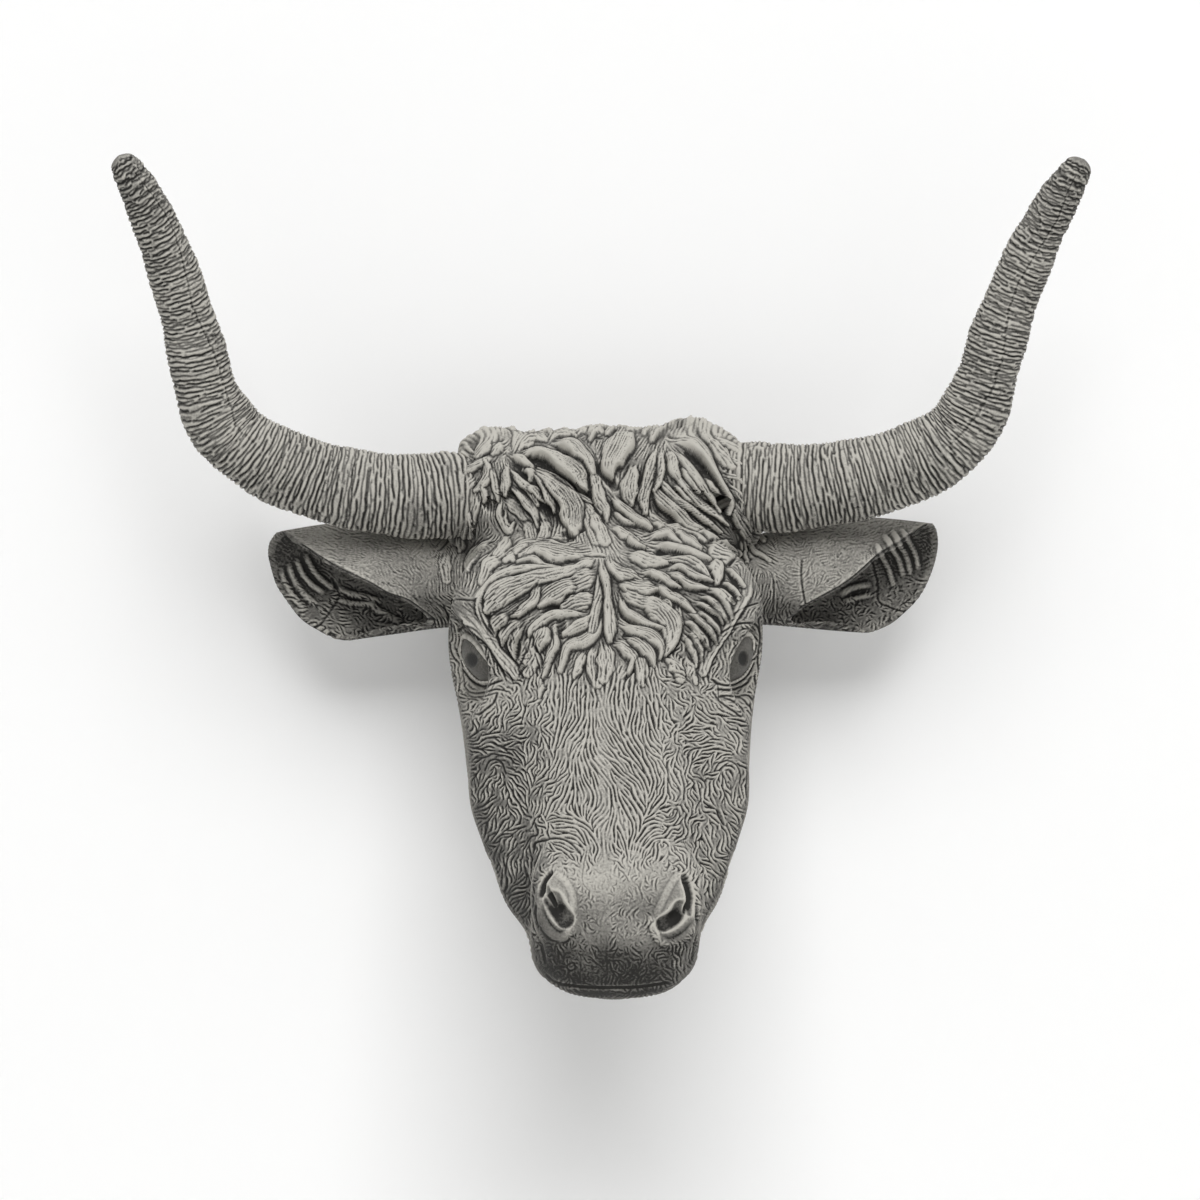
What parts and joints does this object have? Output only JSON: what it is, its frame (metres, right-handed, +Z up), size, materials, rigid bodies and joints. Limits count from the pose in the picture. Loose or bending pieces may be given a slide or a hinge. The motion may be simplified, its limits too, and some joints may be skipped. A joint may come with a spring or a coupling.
{
  "type": "cast steer head wall sculpture",
  "caption": "Grey stone-effect casting of a longhorn steer's head with carved hair, cupped ears and long upswept horns, made to hang on a wall.",
  "frame": {"origin": "middle of the flat back of the neck, on the wall plane", "axes": "+Y into the wall, +X to the viewer's right, +Z up; the face looks out along -Y"},
  "size_m": [0.7443, 0.395, 0.6297],
  "materials": {
    "cast_stone": "matt grey with dark wash in the carved grooves",
    "eye_stone": "smooth matt dark grey",
    "zinc_plated_steel": "zinc plated"
  },
  "bodies": {
    "root": {"neck": "cast_stone", "skull": "cast_stone", "muzzle": "cast_stone", "lower_jaw": "cast_stone", "horn_left": "cast_stone", "horn_right": "cast_stone", "ear_left": "cast_stone", "ear_right": "cast_stone", "eye_left": "eye_stone", "eye_right": "eye_stone", "hanger_plate": "zinc_plated_steel"}
  },
  "joints": []
}
